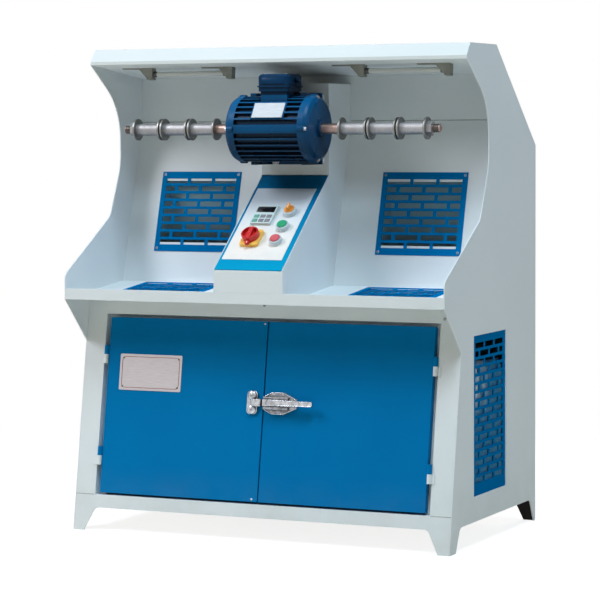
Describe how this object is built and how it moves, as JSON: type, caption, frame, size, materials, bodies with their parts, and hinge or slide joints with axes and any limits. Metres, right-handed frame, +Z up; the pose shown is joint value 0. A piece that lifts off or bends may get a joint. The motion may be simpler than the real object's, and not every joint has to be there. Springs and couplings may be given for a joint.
{
  "type": "polishing machine",
  "caption": "Free-standing polishing machine: leaning sheet-metal cabinet with open work bays, motor arbor, sloped console, suction fan and hinged doors",
  "frame": {"origin": "on the floor, under the middle of the cabinet", "axes": "+X to the operator's right, -Y towards the operator, +Z up"},
  "size_m": [1.2, 0.734, 1.42],
  "materials": {
    "cabinet_white": "satin",
    "cabinet_blue": "satin",
    "motor_blue": "gloss",
    "fan_grey": "satin",
    "steel": "satin",
    "shaft_steel": "satin",
    "core_iron": "matte",
    "chrome": "polished",
    "plate_aluminium": "satin",
    "legend_white": "satin",
    "keypad_grey": "matte",
    "key_grey": "matte",
    "key_green": "matte",
    "green_plastic": "gloss",
    "red_plastic": "gloss",
    "amber_plastic": "gloss",
    "yellow_plastic": "gloss",
    "lamp_white": "matte",
    "lamp_glass": "gloss",
    "cloth": "matte",
    "black_plastic": "matte"
  },
  "bodies": {
    "cabinet": {"back_grilles": "cabinet_blue", "back_wall": "cabinet_white", "base_front": "cabinet_white", "base_rear": "cabinet_white", "bearings": "steel", "bench_grilles": "cabinet_blue", "bench_tray": "cabinet_white", "cable_gland": "black_plastic", "ceiling": "cabinet_white", "console_panel": "cabinet_blue", "control_collars": "chrome", "end_shields": "motor_blue", "fan_casing": "fan_grey", "fan_motor": "fan_grey", "filter_bags": "cloth", "floor_pan": "cabinet_white", "hinge_knuckles": "cabinet_white", "keypad": "keypad_grey", "lamp_holders": "lamp_white", "lamp_tubes": "lamp_glass", "legend_plate": "legend_white", "motor_frame": "motor_blue", "motor_plate": "cabinet_white", "motor_tag": "plate_aluminium", "partition": "cabinet_white", "pedestal": "cabinet_white", "post_left": "cabinet_white", "post_right": "cabinet_white", "rear_panel": "cabinet_white", "rear_slope": "cabinet_white", "roof": "cabinet_white", "side_grille": "cabinet_blue", "side_panel_left": "cabinet_white", "side_panel_right": "cabinet_white", "stator": "core_iron", "switch_plate": "yellow_plastic", "terminal_box": "motor_blue", "top_rail": "cabinet_white"},
    "arbor": {"arbor_shaft": "shaft_steel", "rotor": "core_iron", "wheel_flanges": "steel", "spacer_tubes": "steel", "arbor_nuts": "steel"},
    "fan_rotor": {"fan_impeller": "fan_grey"},
    "left_door": {"door_left": "cabinet_blue", "door_plate": "plate_aluminium", "latch_keeper": "chrome"},
    "right_door": {"door_right": "cabinet_blue", "latch_base": "chrome"},
    "lever": {"latch_lever": "chrome"},
    "start": {"start_button": "green_plastic"},
    "stop": {"stop_button": "red_plastic"},
    "selector": {"selector_knob": "amber_plastic"},
    "main_switch": {"switch_knob": "red_plastic"},
    "keypad_key_1": {"key_1": "key_green"},
    "keypad_key_2": {"key_2": "key_grey"},
    "keypad_key_3": {"key_3": "key_grey"},
    "keypad_key_4": {"key_4": "key_green"},
    "keypad_key_5": {"key_5": "key_grey"},
    "keypad_key_6": {"key_6": "key_grey"}
  },
  "joints": [
    {"name": "arbor_spin", "type": "hinge", "parent": "cabinet", "child": "arbor", "pos_m": [0, -0.157, 1.182], "axis": [1, 0, 0], "continuous": true},
    {"name": "fan_spin", "type": "hinge", "parent": "cabinet", "child": "fan_rotor", "pos_m": [0.33, 0.045, 0.34], "axis": [0, 1, 0], "continuous": true},
    {"name": "right_door_hinge", "type": "hinge", "parent": "cabinet", "child": "right_door", "pos_m": [0.5265, -0.27505, 0.37032], "axis": [0, 0.1599, 0.9871], "range_deg": [0, 110]},
    {"name": "left_door_hinge", "type": "hinge", "parent": "cabinet", "child": "left_door", "pos_m": [-0.5265, -0.27505, 0.37032], "axis": [0, -0.1599, -0.9871], "range_deg": [0, 110]},
    {"name": "latch_lever_pivot", "type": "hinge", "parent": "right_door", "child": "lever", "pos_m": [0.017, -0.2858, 0.39772], "axis": [0, -0.1599, -0.9871], "range_deg": [0, 35], "stiffness_Nm_per_rad": 0.8},
    {"name": "start_press", "type": "slide", "parent": "cabinet", "child": "start", "axis": [0, 0.6338, -0.7735], "range_m": [0, 0.004], "stiffness_N_per_m": 600},
    {"name": "stop_press", "type": "slide", "parent": "cabinet", "child": "stop", "axis": [0, 0.6338, -0.7735], "range_m": [0, 0.004], "stiffness_N_per_m": 600},
    {"name": "selector_turn", "type": "hinge", "parent": "cabinet", "child": "selector", "pos_m": [0.047, -0.17826, 0.93864], "axis": [0, -0.6338, 0.7735], "range_deg": [-45, 45]},
    {"name": "main_switch_turn", "type": "hinge", "parent": "cabinet", "child": "main_switch", "pos_m": [-0.033, -0.26799, 0.86512], "axis": [0, 0.6338, -0.7735], "range_deg": [0, 90]},
    {"name": "key_1_press", "type": "slide", "parent": "cabinet", "child": "keypad_key_1", "axis": [0, 0.6338, -0.7735], "range_m": [0, 0.0008], "stiffness_N_per_m": 900},
    {"name": "key_2_press", "type": "slide", "parent": "cabinet", "child": "keypad_key_2", "axis": [0, 0.6338, -0.7735], "range_m": [0, 0.0008], "stiffness_N_per_m": 900},
    {"name": "key_3_press", "type": "slide", "parent": "cabinet", "child": "keypad_key_3", "axis": [0, 0.6338, -0.7735], "range_m": [0, 0.0008], "stiffness_N_per_m": 900},
    {"name": "key_4_press", "type": "slide", "parent": "cabinet", "child": "keypad_key_4", "axis": [0, 0.6338, -0.7735], "range_m": [0, 0.0008], "stiffness_N_per_m": 900},
    {"name": "key_5_press", "type": "slide", "parent": "cabinet", "child": "keypad_key_5", "axis": [0, 0.6338, -0.7735], "range_m": [0, 0.0008], "stiffness_N_per_m": 900},
    {"name": "key_6_press", "type": "slide", "parent": "cabinet", "child": "keypad_key_6", "axis": [0, 0.6338, -0.7735], "range_m": [0, 0.0008], "stiffness_N_per_m": 900}
  ]
}
